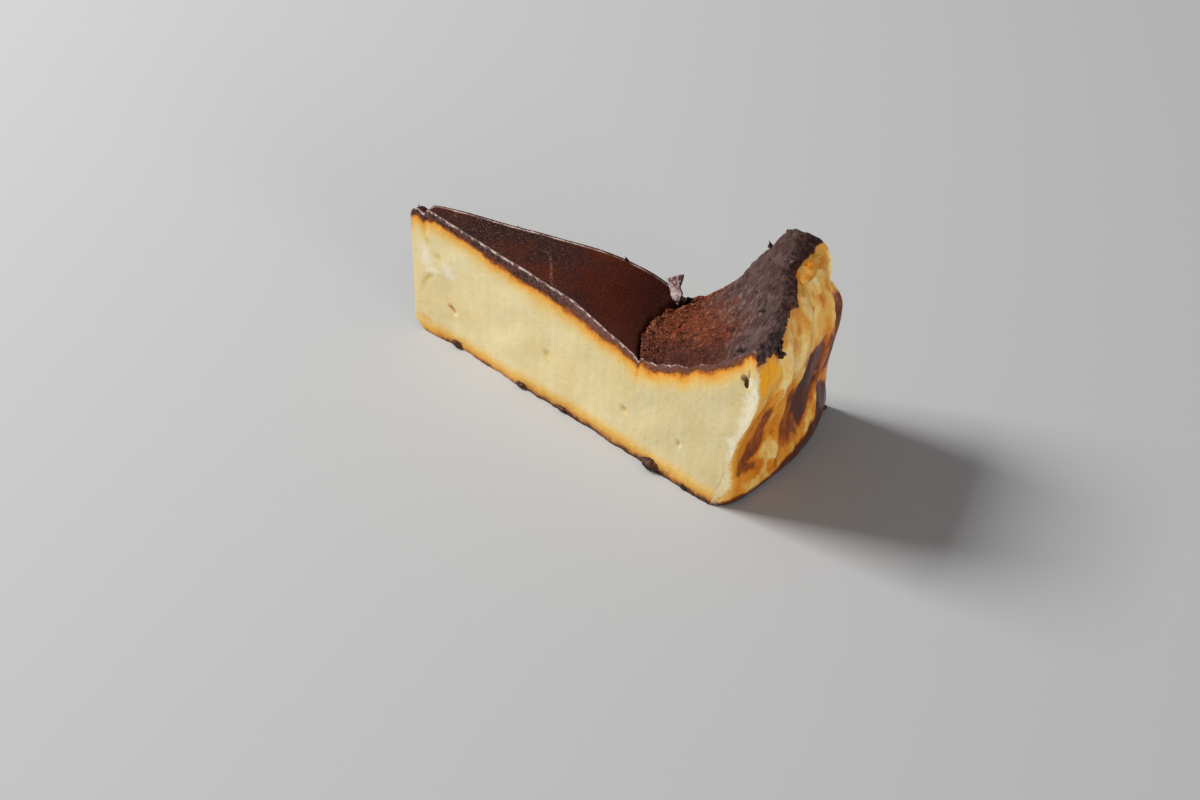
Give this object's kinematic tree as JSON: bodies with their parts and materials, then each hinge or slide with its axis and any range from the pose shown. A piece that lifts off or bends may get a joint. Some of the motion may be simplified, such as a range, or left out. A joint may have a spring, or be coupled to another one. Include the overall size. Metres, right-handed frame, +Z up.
{
  "type": "basque cheesecake slice",
  "caption": "Wedge of burnt Basque cheesecake as cut: pale custard sides, dark sunken top with a torn seam, raised rough rim, creased browned outer wall and a flat base.",
  "frame": {"origin": "middle of the slice's box, on the flat base", "axes": "+X from the point of the wedge to its outer wall, +Y from the near cut to the far cut, +Z up"},
  "size_m": [0.1156, 0.0502, 0.0525],
  "materials": {
    "baked_custard": "soft baked custard, satin and moist on the cuts, burnt dark brown on top and golden to brown on the outer wall"
  },
  "bodies": {
    "root": {"cheesecake_slice": "baked_custard"}
  },
  "joints": []
}
